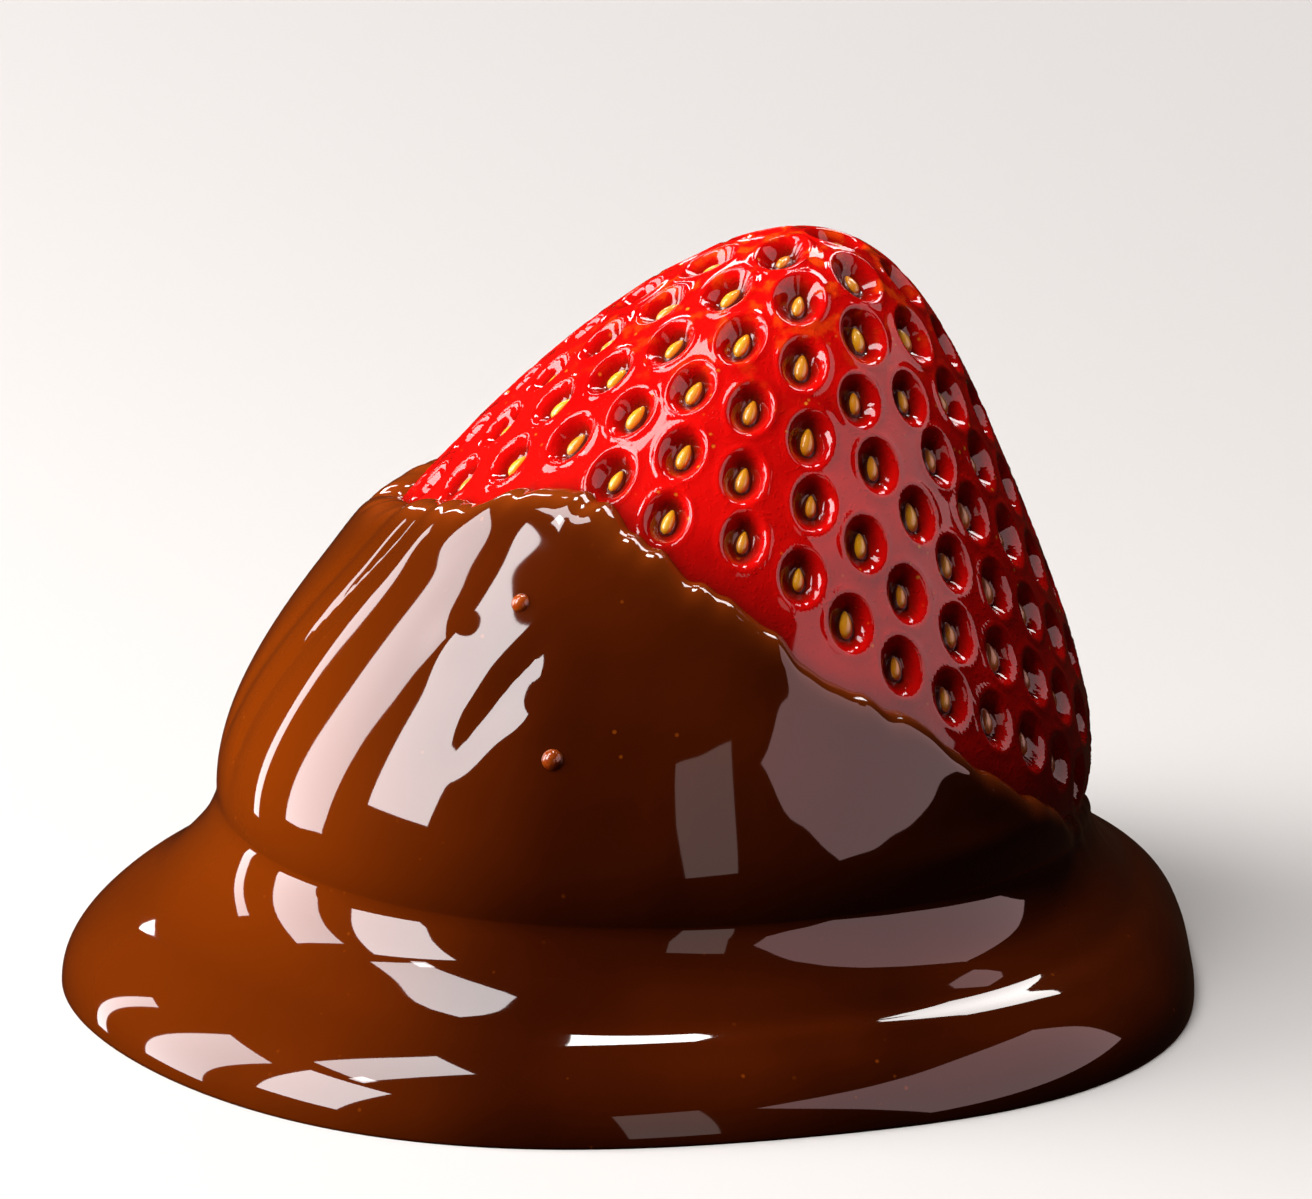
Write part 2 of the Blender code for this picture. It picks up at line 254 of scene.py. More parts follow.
class Recipe:
    """A Geometry Nodes tree with named inputs, which is run once on an object."""

    def __init__(self, name: str, values: dict[str, Any]) -> None:
        """Starts the tree.

        Args:
            name: the tree's name.
            values: what its named inputs besides the geometry are given.
        """
        self.values = values
        self.group = bpy.data.node_groups.new(name, "GeometryNodeTree")
        sockets = self.group.interface
        sockets.new_socket("Geometry", in_out="OUTPUT", socket_type=Kind.GEOMETRY.value)
        kinds = {label: Kind.of(value) for label, value in values.items()}
        for label, kind in {"Geometry": Kind.GEOMETRY, **kinds}.items():
            sockets.new_socket(label, in_out="INPUT", socket_type=kind.value)
        self.tree = Tree(self.group)
        self.entry = self.group.nodes.new("NodeGroupInput")

    def given(self, label: str) -> Signal:
        """The named input's value."""
        return Signal(self.tree, self.entry.outputs[label])

    def carried(self, name: str, kind: str = "FLOAT") -> Signal:
        """A value that the geometry's points carry."""
        return self.tree.add("GeometryNodeInputNamedAttribute", {"data_type": kind}, {"Name": name})

    def random(self, low: float, high: float, order: int) -> Signal:
        """A random number for each point, set apart from the tree's others by its order."""
        inputs = {2: low, 3: high, "Seed": self.given("Seed") + order}
        return self.tree.add("FunctionNodeRandomValue", {"data_type": "FLOAT"}, inputs, 1)

    def store(self, geometry: Signal, name: str, value: Any, domain: str = "POINT") -> Signal:
        """The geometry, which now also carries this number."""
        inputs = {"Geometry": geometry, "Name": name, "Value": value}
        return self.tree.add("GeometryNodeStoreNamedAttribute", {"domain": domain}, inputs)

    def end(self, geometry: Signal) -> None:
        """Realizes what has been made, smooths it and gives it the material.

        Args:
            geometry: what has been made.
        """
        add = self.tree.add
        real = add("GeometryNodeRealizeInstances", None, {"Geometry": geometry})
        smooth = add("GeometryNodeSetShadeSmooth", None, {"Geometry": real})
        inputs = {"Geometry": smooth, "Material": self.given("Material")}
        self.tree.lead(add("GeometryNodeSetMaterial", None, inputs), "NodeGroupOutput", "Geometry")

    def run(self, thing: bpy.types.Object) -> bpy.types.Object:
        """Runs the tree on an object and keeps the result as a plain mesh.

        Args:
            thing: the object.

        Returns:
            The same object.
        """
        modifier = thing.modifiers.new(self.group.name, "NODES")
        modifier.node_group = self.group
        for item in self.group.interface.items_tree:
            if item.in_out == "INPUT" and item.name in self.values:
                modifier[item.identifier] = self.values[item.name]
        bpy.context.view_layer.update()
        depsgraph = bpy.context.evaluated_depsgraph_get()
        mesh = bpy.data.meshes.new_from_object(thing.evaluated_get(depsgraph), depsgraph=depsgraph)
        thing.modifiers.remove(modifier)
        thing.data = mesh
        return thing


@dataclass(frozen=True)
class SkinFinish:
    """Wet ripe strawberry skin, with painted shade darkening its pits and the bed under each seed, and
    darker where chocolate has stained it.
    """

    name: str = "berry_skin"
    red: Colour = (0.78, 0.004, 0.003)
    deep_red: Colour = (0.52, 0.002, 0.002)
    tip_orange: Colour = (0.90, 0.060, 0.004)
    # Painted shade in the pits.
    pit_shade_red: Colour = (0.42, 0.003, 0.002)
    # Painted shade under and round each seed.
    seed_bed_shade: Colour = (0.16, 0.008, 0.002)
    stain: Colour = (0.16, 0.004, 0.002)
    fleck: Colour = (0.90, 0.34, 0.03)
    tip_height: float = 38.5 * MM
    tip_reach: float = 7 * MM
    stain_reach: float = 0.8 * MM

    def material(self) -> bpy.types.Material:
        """Builds the material.

        Returns:
            The material.
        """
        material, tree = new_material(self.name)
        pit = tree.attribute("pit")
        above = tree.attribute("above_edge")
        patches = tree.noise(6 * MM, 3.0)
        height = tree.part(tree.place(), "Z")
        colour = tree.mix(patches.step(0.40, 0.68), self.red, self.deep_red)
        near_tip = height.step(self.tip_height - self.tip_reach, self.tip_height)
        mottled = tree.noise(1.1 * MM, 3.0).step(0.50, 0.66)
        colour = tree.mix(near_tip * mottled, colour, self.tip_orange)
        # Painted shade: the pits' hollows are darkened.
        colour = tree.mix(pit.step(0.15, 0.75), colour, self.pit_shade_red)
        # Painted shade: the bed under each seed is darkened to brown.
        colour = tree.mix(tree.attribute("bed"), colour, self.seed_bed_shade)
        flecks = 1 - tree.cells(0.8 * MM).step(0.06, 0.17)
        speckled = tree.noise(3.5 * MM).step(0.50, 0.62) * (1 - pit)
        colour = tree.mix(flecks * speckled * 0.85, colour, self.fleck)
        stained = (-(above.at_least(0.0) / self.stain_reach)).exponent()
        colour = tree.mix(stained * 0.7, colour, self.stain)
        pores = tree.noise(0.22 * MM, 1.0).step(0.55, 0.75)
        dimples = 0.05 * tree.noise(0.55 * MM, 3.0) + 0.03 * pores
        normal = tree.bump(dimples, 1.0 * MM, 0.6)
        inputs = {
            "Base Color": colour,
            "Roughness": 0.34 + 0.12 * tree.noise(2.5 * MM),
            "Specular IOR Level": 0.0,
            "Subsurface Weight": 0.18,
            "Subsurface Radius": (1.0, 0.12, 0.06),
            "Subsurface Scale": 1.2 * MM,
            "Coat Weight": 1.0,
            "Coat Roughness": 0.04,
            "Coat IOR": 1.45,
            "Normal": normal,
        }
        finish(tree, inputs)
        return material


@dataclass(frozen=True)
class SeedFinish:
    """Golden seeds, browner on some than on others, each ringed by a dark shell that paints the shade
    in the crevice round it.
    """

    name: str = "seed"
    gold: Colour = (0.98, 0.50, 0.006)
    brown: Colour = (0.80, 0.24, 0.004)
    # Painted shade: the dark shell round each seed.
    husk: Colour = (0.11, 0.012, 0.002)

    def material(self) -> bpy.types.Material:
        """Builds the material.

        Returns:
            The material.
        """
        material, tree = new_material(self.name)
        tone = tree.attribute("tone")
        grain = tree.noise(0.3 * MM, 2.0)
        colour = tree.mix(tone * 0.6 + grain * 0.4, self.gold, self.brown)
        # Painted shade where the dark shell shows round the seed.
        colour = tree.mix(tree.attribute("husk"), colour, self.husk)
        inputs = {
            "Base Color": colour,
            "Roughness": 0.28 + 0.2 * grain,
            "Subsurface Weight": 0.15,
            "Subsurface Scale": 0.4 * MM,
            "Coat Weight": 0.8,
            "Coat Roughness": 0.08,
            "Normal": tree.bump(grain, 0.04 * MM, 0.5),
        }
        finish(tree, inputs)
        return material


@dataclass(frozen=True)
class ChocolateFinish:
    """Glossy dark chocolate, with painted light brightening its left side and upper wall, and an amber
    edge where the film thins out, partly its own colour and partly a painted glow.
    """

    name: str = "dark_chocolate"
    dark: Colour = (0.033, 0.0038, 0.0003)
    warm: Colour = (0.084, 0.0106, 0.0006)
    # Partly the film's own colour where it thins out, partly a painted glow along the lip.
    thin_and_glow: Colour = (0.240, 0.0380, 0.0030)
    # Painted light: the brighter brown laid on the left side, as if lit there.
    painted_light_brown: Colour = (0.215, 0.0330, 0.0008)
    speck: Colour = (0.300, 0.0600, 0.0040)
    # How far the painted glow and the thinning colour reach below the edge.
    thin_and_glow_reach: float = 0.45 * MM
    # Where the painted light starts and ends across the left side, how it grows up the wall, and its
    # share at the foot.
    painted_light_from: tuple[float, float] = (6 * MM, 26 * MM)
    painted_light_above: tuple[float, float] = (3 * MM, 11 * MM)
    painted_light_at_foot: float = 0.45

    def material(self) -> bpy.types.Material:
        """Builds the material.

        Returns:
            The material.
        """
        material, tree = new_material(self.name)
        below = tree.attribute("below_edge")
        swirls = tree.noise(14 * MM, 2.0)
        colour = tree.mix(swirls.step(0.25, 0.80), self.dark, self.warm)
        across = tree.part(tree.place(), "X")
        height = tree.part(tree.place(), "Z")
        # Painted light: the left side is brightened towards a lit brown, more strongly up the wall.
        upper = self.painted_light_at_foot + (1 - self.painted_light_at_foot) * height.step(*self.painted_light_above)
        colour = tree.mix((-across).step(*self.painted_light_from) * upper, colour, self.painted_light_brown)
        # Painted glow, partly real: the edge turns amber where the film thins out, as if light shone
        # through and off the lip.
        thin_and_glow = (-(below.at_least(0.0) / self.thin_and_glow_reach)).exponent()
        colour = tree.mix(thin_and_glow, colour, self.thin_and_glow)
        specks = 1 - tree.cells(1.1 * MM).step(0.05, 0.13)
        speckled = tree.noise(5 * MM, 1.0).step(0.55, 0.65)
        colour = tree.mix(specks * speckled * 0.6, colour, self.speck)
        waviness = 0.09 * tree.noise(5 * MM, 2.0) + 0.032 * tree.noise(1.4 * MM, 2.0)
        normal = tree.bump(waviness + 0.004 * tree.noise(0.5 * MM, 1.0), 1.0 * MM)
        inputs = {
            "Base Color": colour,
            "Roughness": 0.4,
            "Specular IOR Level": 0.0,
            "Coat Weight": 1.0,
            "Coat Roughness": 0.03,
            "Coat IOR": 1.5,
            "Normal": normal,
        }
        finish(tree, inputs)
        return material


@dataclass(frozen=True)
class BubbleFinish:
    """Thin amber chocolate, which lets a little light through."""

    name: str = "thin_chocolate"
    amber: Colour = (0.42, 0.070, 0.004)
    brown: Colour = (0.16, 0.022, 0.002)

    def material(self) -> bpy.types.Material:
        """Builds the material.

        Returns:
            The material.
        """
        material, tree = new_material(self.name)
        inputs = {
            "Base Color": tree.mix(tree.attribute("tone"), self.amber, self.brown),
            "Roughness": 0.3,
            "Specular IOR Level": 0.1,
            "Subsurface Weight": 0.5,
            "Subsurface Radius": (1.0, 0.3, 0.1),
            "Subsurface Scale": 0.6 * MM,
            "Coat Weight": 1.0,
            "Coat Roughness": 0.02,
        }
        finish(tree, inputs)
        return material


@dataclass(frozen=True)
class FloorFinish:
    """A plain pale table, which glows far from the object where the lights no longer reach."""

    name: str = "pale_table"
    white: Colour = (0.70, 0.695, 0.69)
    grey: Colour = (0.63, 0.62, 0.61)
    grey_share: float = 0.05
    far_glow: Colour = (0.93, 0.93, 0.93)
    glow_from: tuple[float, float] = (0.08, 0.75)

    def material(self) -> bpy.types.Material:
        """Builds the material.

        Returns:
            The material.
        """
        material, tree = new_material(self.name)
        shade = tree.noise(60 * MM, 2.0)
        white = tree.mix(shade * self.grey_share, self.white, self.grey)
        far = tree.vector_sum("LENGTH", tree.place(), output="Value").step(*self.glow_from)
        inputs = {
            "Base Color": white,
            "Roughness": 0.75,
            "Specular IOR Level": 0.2,
            "Emission Color": tree.mix(far, BLACK, self.far_glow),
            "Emission Strength": 1.0,
        }
        finish(tree, inputs)
        return material


def new_material(name: str) -> tuple[bpy.types.Material, Tree]:
    """Makes an empty material.

    Args:
        name: its name.

    Returns:
        The material and its tree.
    """
    material = bpy.data.materials.new(name)
    material.use_nodes = True
    material.node_tree.nodes.clear()
    return material, Tree(material.node_tree)


def finish(tree: Tree, inputs: dict[str, Any]) -> None:
    """Gives the material a Principled BSDF with these inputs."""
    shader = tree.add("ShaderNodeBsdfPrincipled", None, inputs)
    tree.lead(shader, "ShaderNodeOutputMaterial", "Surface")


def unit(vectors: np.ndarray) -> np.ndarray:
    """The same vectors at length 1."""
    return vectors / np.linalg.norm(vectors, axis=-1, keepdims=True)


def waves(angle: np.ndarray, table: Waves) -> np.ndarray:
    """Sum of waves, each with its count round the berry, height, and a crest's degrees."""
    return sum(height * np.cos(count * (angle - math.radians(at))) for count, height, at in table)


def degrees_from(angle: np.ndarray, middle: float) -> np.ndarray:
    """How many degrees each angle lies from a middle one, from -180 to 180."""
    return (np.degrees(angle) - middle + 180) % 360 - 180


def evened(ring: np.ndarray, reach: int) -> np.ndarray:
    """A ring of numbers, averaged with this many neighbours to each side."""
    return np.mean([np.roll(ring, turn) for turn in range(-reach, reach + 1)], axis=0)


def column_angles(count: int) -> np.ndarray:
    """Angles of this many columns round the berry."""
    return np.arange(count) * 2 * math.pi / count


def new_object(name: str, data: bpy.types.ID) -> bpy.types.Object:
    """Adds an object to the scene.

    Args:
        name: its name.
        data: its mesh, light or camera.

    Returns:
        The object.
    """
    thing = bpy.data.objects.new(name, data)
    bpy.context.scene.collection.objects.link(thing)
    return thing


def new_mesh(name: str, points: np.ndarray, faces: Any = ()) -> bpy.types.Object:
    """Adds a mesh object, which is loose points where it has no faces.

    Args:
        name: its name.
        points: its points.
        faces: the points of each face.

    Returns:
        The object.
    """
    mesh = bpy.data.meshes.new(name)
    mesh.from_pydata(np.asarray(points).tolist(), [], faces)
    return new_object(name, mesh)


def ring_mesh(
    name: str, rings: np.ndarray, first: np.ndarray, last: np.ndarray
) -> bpy.types.Object:
    """Makes a closed object from rings of points and a point at each end.

    Args:
        name: the object's name.
        rings: points by ring, column and coordinate. Seen from the first end, columns run
            anticlockwise.
        first: the point that closes the first ring.
        last: the point that closes the last ring.

    Returns:
        The object.
    """
    count, columns = rings.shape[:2]
    points = np.concatenate([rings.reshape(-1, 3), [first, last]])
    index = np.arange(count * columns).reshape(count, columns)
    turned = np.roll(index, -1, axis=1)
    sides = np.stack([index[:-1], index[1:], turned[1:], turned[:-1]], axis=-1).reshape(-1, 4)
    top = [(count * columns, a, b) for a, b in zip(index[0], turned[0])]
    bottom = [(count * columns + 1, b, a) for a, b in zip(index[-1], turned[-1])]
    thing = new_mesh(name, points, [*sides.tolist(), *top, *bottom])
    thing.data.shade_smooth()
    return thing


def carry(thing: bpy.types.Object, name: str, values: np.ndarray, kind: str = "FLOAT") -> None:
    """Lets a mesh's points carry values.

    Args:
        thing: the object.
        name: the attribute's name.
        values: one number or vector for each point.
        kind: the attribute's data type.
    """
    attribute = thing.data.attributes.new(name, kind, "POINT")
    slot = "vector" if kind == "FLOAT_VECTOR" else "value"
    attribute.data.foreach_set(slot, np.ascontiguousarray(values, dtype=np.float32).ravel())


@dataclass(frozen=True)
class Berry:
    """The berry's shape: a broad cone with a round tip that leans right and square shoulders."""

    length: float = 37.5 * MM
    tip_rounding: float = 7.25 * MM
    cone_slope: float = 0.413
    shoulder_power: float = 6.6
    stem_end_right: float = -0.56 * MM
    lean_right: float = 7.17 * MM
    lean_forward: float = 0.6 * MM
    lean_power: float = 2.1
    stem_end_height: float = 1.6 * MM
    lumps: Waves = ((2, 0.010, 40), (3, 0.008, 115), (5, 0.004, 20))
    seed_gap_at_tip: float = 3.25 * MM
    seed_gap_at_shoulder: float = 3.8 * MM
    seed_gap_full_at: float = 0.5
    spiral_samples: int = 600
    evening_rounds: int = 150
    evening_reach: float = 1.3
    evening_step: float = 0.45
    pit_share: float = 0.43
    seed_last_row: float = 0.93

    def row_at(self, depth: np.ndarray) -> np.ndarray:
        """Row of the skin that lies this far below the tip."""
        return 2 / math.pi * np.arcsin(np.sqrt(np.clip(depth / self.length, 0, 1)))

    def depth_at(self, row: np.ndarray) -> np.ndarray:
        """How far below the tip this row lies."""
        return self.length * np.sin(math.pi * row / 2) ** 2

    @staticmethod
    def spot(row: np.ndarray, angle: np.ndarray) -> np.ndarray:
        """A place on the skin laid flat as a disc, with the tip in the middle."""
        return np.stack(np.broadcast_arrays(row * np.cos(angle), row * np.sin(angle)), axis=-1)

    @staticmethod
    def row_and_angle(spots: np.ndarray) -> tuple[np.ndarray, np.ndarray]:
        """Row and angle of places on the flat skin."""
        return np.hypot(spots[..., 0], spots[..., 1]), np.arctan2(spots[..., 1], spots[..., 0])

    def skin(self, spots: np.ndarray) -> np.ndarray:
        """Points of the smooth skin, before any pit.

        Args:
            spots: places on the flat skin.

        Returns:
            Their places in space.
        """
        row, angle = self.row_and_angle(spots)
        share = self.depth_at(row) / self.length
        depth = self.length * share
        shoulder = np.sqrt(np.maximum(1 - share**self.shoulder_power, 0))
        radius = np.sqrt(2 * self.tip_rounding * depth + (self.cone_slope * depth) ** 2) * shoulder
        radius = radius * (1 + waves(angle, self.lumps) * np.sin(math.pi * row))
        lean = (1 - share) ** self.lean_power
        x = self.stem_end_right + self.lean_right * lean + radius * np.cos(angle)
        y = -self.lean_forward * lean + radius * np.sin(angle)
        z = self.stem_end_height + self.length - depth
        return np.stack(np.broadcast_arrays(x, y, z), axis=-1)

    def slope(self, spots: np.ndarray, direction: Any) -> np.ndarray:
        """How the skin runs on from each spot in a direction of the flat skin."""
        step = SMALL_STEP * np.asarray(direction)
        return (self.skin(spots + step) - self.skin(spots - step)) / (2 * SMALL_STEP)

    def outwards(self, spots: np.ndarray) -> np.ndarray:
        """Unit vectors that point out of the skin."""
        return unit(np.cross(self.slope(spots, (1, 0)), self.slope(spots, (0, 1))))

    def offset(self, spots: np.ndarray, distance: Any) -> np.ndarray:
        """Points this far outside the skin."""
        return self.skin(spots) + self.outwards(spots) * np.asarray(distance)[..., None]

    def seed_gap(self, row: np.ndarray) -> np.ndarray:
        """The gap between neighbouring seeds at this row."""
        share = np.minimum(self.depth_at(row) / (self.seed_gap_full_at * self.length), 1)
        return self.seed_gap_at_tip + (self.seed_gap_at_shoulder - self.seed_gap_at_tip) * share

    def seed_spiral(self) -> np.ndarray:
        """Spots of all the seeds, in a spiral from the tip to the stem end.

        Returns:
            The spots, each with one cell of a triangular net to itself.
        """
        rows = np.linspace(0, self.seed_last_row, self.spiral_samples)
        left, right = self.skin(self.spot(rows, math.pi)), self.skin(self.spot(rows, 0.0))
        radius = np.linalg.norm(right - left, axis=-1) / 2
        length = np.linalg.norm(np.diff(right + left, axis=0), axis=-1) / 2
        length = np.hypot(length, np.diff(radius))
        cell = math.sqrt(3) / 2 * self.seed_gap(rows) ** 2
        count = np.cumsum(math.pi * (radius[1:] + radius[:-1]) * length / cell[1:])
        count = np.concatenate([[0], count])
        order = np.arange(int(count[-1]))
        return self.spot(np.interp(order + 0.5, count, rows), order * GOLDEN_ANGLE)

    @staticmethod
    def apart(points: np.ndarray) -> tuple[np.ndarray, np.ndarray]:
        """How far every two points lie apart.

        Args:
            points: places in space.

        Returns:
            The vectors between them, and their lengths, infinite from a point to itself.
        """
        vectors = points[:, None] - points[None]
        lengths = np.linalg.norm(vectors, axis=-1)
        np.fill_diagonal(lengths, np.inf)
        return vectors, lengths

    def onto_skin(self, spots: np.ndarray, moves: np.ndarray) -> np.ndarray:
        """Moves in space, turned into moves on the flat skin."""
        slopes = np.stack([self.slope(spots, (1, 0)), self.slope(spots, (0, 1))], axis=-1)
        return (np.linalg.pinv(slopes) @ moves[..., None])[..., 0]

    def seed_spots(self) -> tuple[np.ndarray, np.ndarray]:
        """Spots of all the seeds, after the crowded ones of the spiral pushed each other apart.

        Returns:
            The spots, and the radius of each seed's pit.
        """
        spots = self.seed_spiral()
        for step in np.linspace(self.evening_step, 0, self.evening_rounds):
            gap = self.seed_gap(self.row_and_angle(spots)[0])[:, None]
            vectors, lengths = self.apart(self.skin(spots))
            push = np.maximum(1 - lengths / (self.evening_reach * gap), 0) / lengths
            moves = step * gap * (vectors * push[..., None]).sum(axis=1)
            spots = spots + self.onto_skin(spots, moves)
            row, angle = self.row_and_angle(spots)
            spots = self.spot(np.minimum(row, self.seed_last_row), angle)
        return spots, self.pit_share * self.apart(self.skin(spots))[1].min(axis=1)


@dataclass(frozen=True)
class Dip:
    """How the chocolate lies on the berry: its edge, its wall, and its skirt on the table."""

    berry: Berry
    edge: float = 19.2 * MM
    edge_waves: Waves = (
        (1, 7.9 * MM, 16.3), (2, 2.84 * MM, -10.2), (3, 0.5 * MM, -21), (4, 0.6 * MM, 0.7),
        (9, 0.18 * MM, 10), (14, 0.2 * MM, 9),
    )
    edge_nicks: Waves = ((29, 0.10 * MM, 4), (47, 0.07 * MM, 11), (71, 0.04 * MM, 2))
    crest_angle: float = -119
    crest_width: float = 7
    crest_rise: float = 0.8 * MM
    clearance: float = 0.3 * MM
    thickness: float = 0.68 * MM
    thickness_waves: Waves = ((1, 0.26 * MM, -165), (2, 0.1 * MM, -160), (3, 0.06 * MM, 80))
    sag: float = 0.5 * MM
    sag_reach: float = 16 * MM
    lip_length: float = 1.5 * MM
    lip_bead: float = 0.1 * MM
    lip_root: float = -0.25 * MM
    grooves: tuple[tuple[float, float, float, float, float], ...] = (
        (-164, 0.16 * MM, 2.2, 11 * MM, 28 * MM),
        (-154, 0.18 * MM, 2.6, 10 * MM, 29 * MM),
        (-112, 0.16 * MM, 3.0, 16 * MM, 24 * MM),
    )
    groove_fade: float = 3 * MM
    groove_power: float = 1.6
    groove_drift: float = -11
    groove_drift_start: float = 12 * MM
    groove_drift_length: float = 15 * MM
    knobs: tuple[tuple[float, float], ...] = ((-111.5, 21 * MM), (-130, 18.2 * MM))
    knob_height: float = 0.15 * MM
    knob_size: tuple[float, float] = (3.8, 1.2 * MM)
    fold: tuple[float, float] = (-43, 27.9 * MM)
    fold_height: float = 0.24 * MM
    fold_size: tuple[float, float] = (13, 0.9 * MM)
    skirt_top: float = 8.8 * MM
    skirt_top_waves: Waves = ((1, 0.9 * MM, -130), (2, 0.3 * MM, 150))
    skirt_rim: float = 3.4 * MM
    skirt_width: float = 6.8 * MM
    skirt_waves: Waves = (
        (1, 0.9 * MM, -122), (2, 0.6 * MM, 55), (3, 0.7 * MM, -40), (5, 0.5 * MM, -112),
    )
    skirt_slump: float = 1.6
    skirt_fillet_share: float = 0.38
    skirt_fillet: float = 0.9 * MM
    skirt_round_from: float = 0.56
    skirt_roll: float = 0.15 * MM
    skirt_roll_reach: float = 0.45

    def edge_depth(self, angle: np.ndarray) -> np.ndarray:
        """How far below the tip the coat's upper edge lies at each angle."""
        off = degrees_from(angle, self.crest_angle) / self.crest_width
        crest = self.crest_rise * np.exp(-(off**2))
        return self.edge + waves(angle, self.edge_waves) + waves(angle, self.edge_nicks) - crest

    def groove_depth(self, depth: np.ndarray, angle: np.ndarray) -> np.ndarray:
        """Depth of the grooves between the runs of chocolate on the left of the front.

        Args:
            depth: how far below the tip.
            angle: angles round the berry.

        Returns:
            How deep the surface is sunk at each place.
        """
        share = np.clip((depth - self.groove_drift_start) / self.groove_drift_length, 0, 1)
        drift = self.groove_drift * share**2 * (3 - 2 * share)
        total = np.zeros(np.shape(drift))
        for at, deep, width, first, last in self.grooves:
            off = degrees_from(angle - np.radians(drift), at)
            start = np.clip((depth - first) / self.groove_fade, 0, 1)
            end = np.clip((last - depth) / self.groove_fade, 0, 1)
            total = total + deep * start * end * np.exp(-np.abs(off / width) ** self.groove_power)
        return total

    @staticmethod
    def hill(depth: np.ndarray, angle: np.ndarray, middle: Any, size: Any) -> np.ndarray:
        """A soft hill of height 1 on the wall, its middle and size in degrees and in depth."""
        round_berry = degrees_from(angle, middle[0]) / size[0]
        return np.exp(-(round_berry**2) - ((depth - middle[1]) / size[1]) ** 2)

    def wall(self, row: np.ndarray, angle: np.ndarray) -> np.ndarray:
        """How far the coat's outside stands off the skin.

        Args:
            row: rows of the skin.
            angle: angles round the berry.

        Returns:
            The distance at each place, from under the skin at the very edge.
        """
        depth = self.berry.depth_at(row)
        below = np.maximum(depth - self.edge_depth(angle), 0)
        lip = np.sqrt(1 - (1 - np.minimum(below / self.lip_length, 1)) ** 2)
        bead = self.lip_bead * np.exp(-(((below - self.lip_length) / self.lip_length) ** 2))
        sag = self.sag * np.clip(below / self.sag_reach, 0, 1)
        full = self.thickness + waves(angle, self.thickness_waves) + bead + sag
        full = full - self.groove_depth(depth, angle)
        for knob in self.knobs:
            full = full + self.knob_height * self.hill(depth, angle, knob, self.knob_size)
        full = full + self.fold_height * self.hill(depth, angle, self.fold, self.fold_size)
        return self.lip_root + (self.clearance - self.lip_root + full) * lip


@dataclass
class Beds:
    """The places that the seeds lie in, as loose points that the recipes read."""

    berry: Berry
    dip: Dip
    least_to_edge: float = 0.1 * MM

    def build(self) -> bpy.types.Object:
        """Makes the points.

        Returns:
            An object with one point for each seed, which carries its directions and pit radius.
        """
        spots, radii = self.berry.seed_spots()
        row, angle = self.berry.row_and_angle(spots)
        showing = self.berry.depth_at(row) < self.dip.edge_depth(angle) - self.least_to_edge
        spots, radii = spots[showing], radii[showing]
        outwards = self.berry.outwards(spots)
        below, above = (self.berry.skin(spots * (1 + side * SMALL_STEP)) for side in (1, -1))
        stemwards = unit(below - above)
        thing = new_mesh("seed_beds", self.berry.skin(spots))
        carry(thing, "outwards", outwards, "FLOAT_VECTOR")
        carry(thing, "tipwards", -stemwards, "FLOAT_VECTOR")
        carry(thing, "pit_radius", radii)
        return thing


